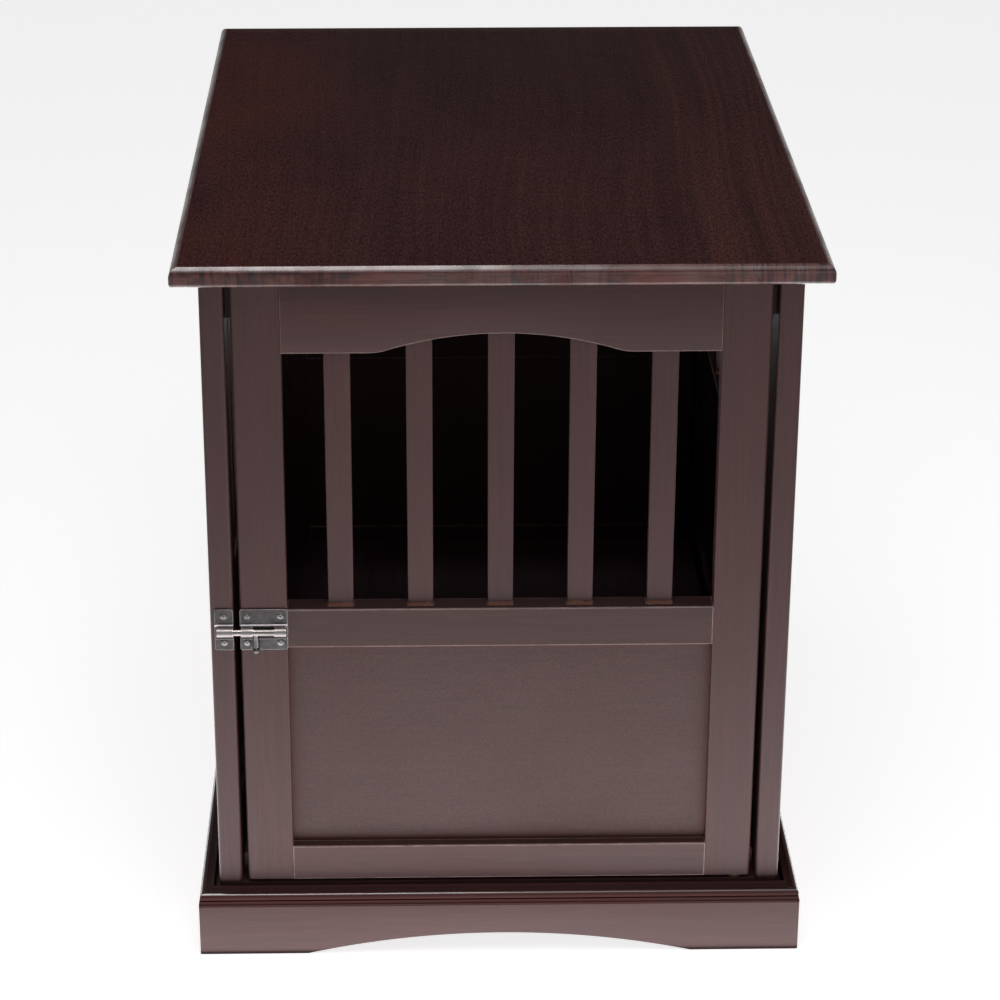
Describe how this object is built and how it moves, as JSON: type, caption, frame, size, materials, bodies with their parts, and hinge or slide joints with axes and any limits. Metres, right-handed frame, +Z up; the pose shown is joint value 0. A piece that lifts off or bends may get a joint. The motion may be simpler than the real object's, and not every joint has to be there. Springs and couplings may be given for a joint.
{
  "type": "dog crate end table",
  "caption": "Wooden dog crate under a tabletop: slatted, arched window frames over plain panels, a hinged door with a barrel bolt, on a moulded base.",
  "frame": {"origin": "on the floor, under the middle of the tabletop", "axes": "+Z up, +Y from the door at the front towards the back, +X to the right as seen from the front"},
  "size_m": [0.508, 0.6984, 0.61],
  "materials": {
    "veneer": "dark espresso-stained veneer, satin lacquer",
    "edging": "dark espresso-stained solid edging, satin lacquer",
    "frame_wood": "espresso-stained hardwood, satin lacquer",
    "panel_wood": "espresso-stained plywood panel, satin lacquer",
    "floor_board": "espresso-stained board, satin lacquer",
    "bolt_metal": "antique pewter plating, satin",
    "screw_metal": "antique pewter plating, satin",
    "steel": "zinc-plated steel",
    "bush_brass": "turned brass"
  },
  "bodies": {
    "carcass": {"top_panel": "veneer", "top_lipping_front": "edging", "top_lipping_back": "edging", "top_lipping_left": "edging", "top_lipping_right": "edging", "left_front_post": "frame_wood", "left_rear_post": "frame_wood", "left_top_rail": "frame_wood", "left_middle_rail": "frame_wood", "left_bottom_rail": "frame_wood", "left_panel": "panel_wood", "left_slats": "frame_wood", "right_front_post": "frame_wood", "right_rear_post": "frame_wood", "right_top_rail": "frame_wood", "right_middle_rail": "frame_wood", "right_bottom_rail": "frame_wood", "right_panel": "panel_wood", "right_slats": "frame_wood", "back_left_stile": "frame_wood", "back_right_stile": "frame_wood", "back_top_rail": "frame_wood", "back_middle_rail": "frame_wood", "back_bottom_rail": "frame_wood", "back_panel": "panel_wood", "back_slats": "frame_wood", "base_board_front": "frame_wood", "base_board_back": "frame_wood", "base_board_left": "frame_wood", "base_board_right": "frame_wood", "base_moulding_front": "frame_wood", "base_moulding_back": "frame_wood", "base_moulding_left": "frame_wood", "base_moulding_right": "frame_wood", "front_sill": "frame_wood", "floor_panel": "floor_board", "floor_cleats": "frame_wood", "front_stretcher": "frame_wood", "top_cleats": "frame_wood", "top_screws": "steel", "pivot_bushes": "bush_brass", "keeper": "bolt_metal", "keeper_screws": "screw_metal"},
    "door": {"door_latch_stile": "frame_wood", "door_pivot_stile": "frame_wood", "door_top_rail": "frame_wood", "door_middle_rail": "frame_wood", "door_bottom_rail": "frame_wood", "door_panel": "panel_wood", "door_slat_1": "frame_wood", "door_slat_2": "frame_wood", "door_slat_3": "frame_wood", "door_slat_4": "frame_wood", "door_slat_5": "frame_wood", "upper_pivot_pin": "steel", "lower_pivot_pin": "steel", "latch_plate": "bolt_metal", "latch_screws": "screw_metal"},
    "bolt": {"bolt_rod": "bolt_metal"},
    "knob": {"bolt_knob": "bolt_metal"}
  },
  "joints": [
    {"name": "door_swing", "type": "hinge", "parent": "carcass", "child": "door", "pos_m": [0.1975, -0.31925, 0], "axis": [0, 0, 1], "range_deg": [0, 110]},
    {"name": "bolt_slide", "type": "slide", "parent": "door", "child": "bolt", "axis": [1, 0, 0], "range_m": [0, 0.0128]},
    {"name": "knob_turn", "type": "hinge", "parent": "bolt", "child": "knob", "pos_m": [-0.1969, -0.33315, 0.29459], "axis": [-1, 0, 0], "range_deg": [0, 120]}
  ]
}
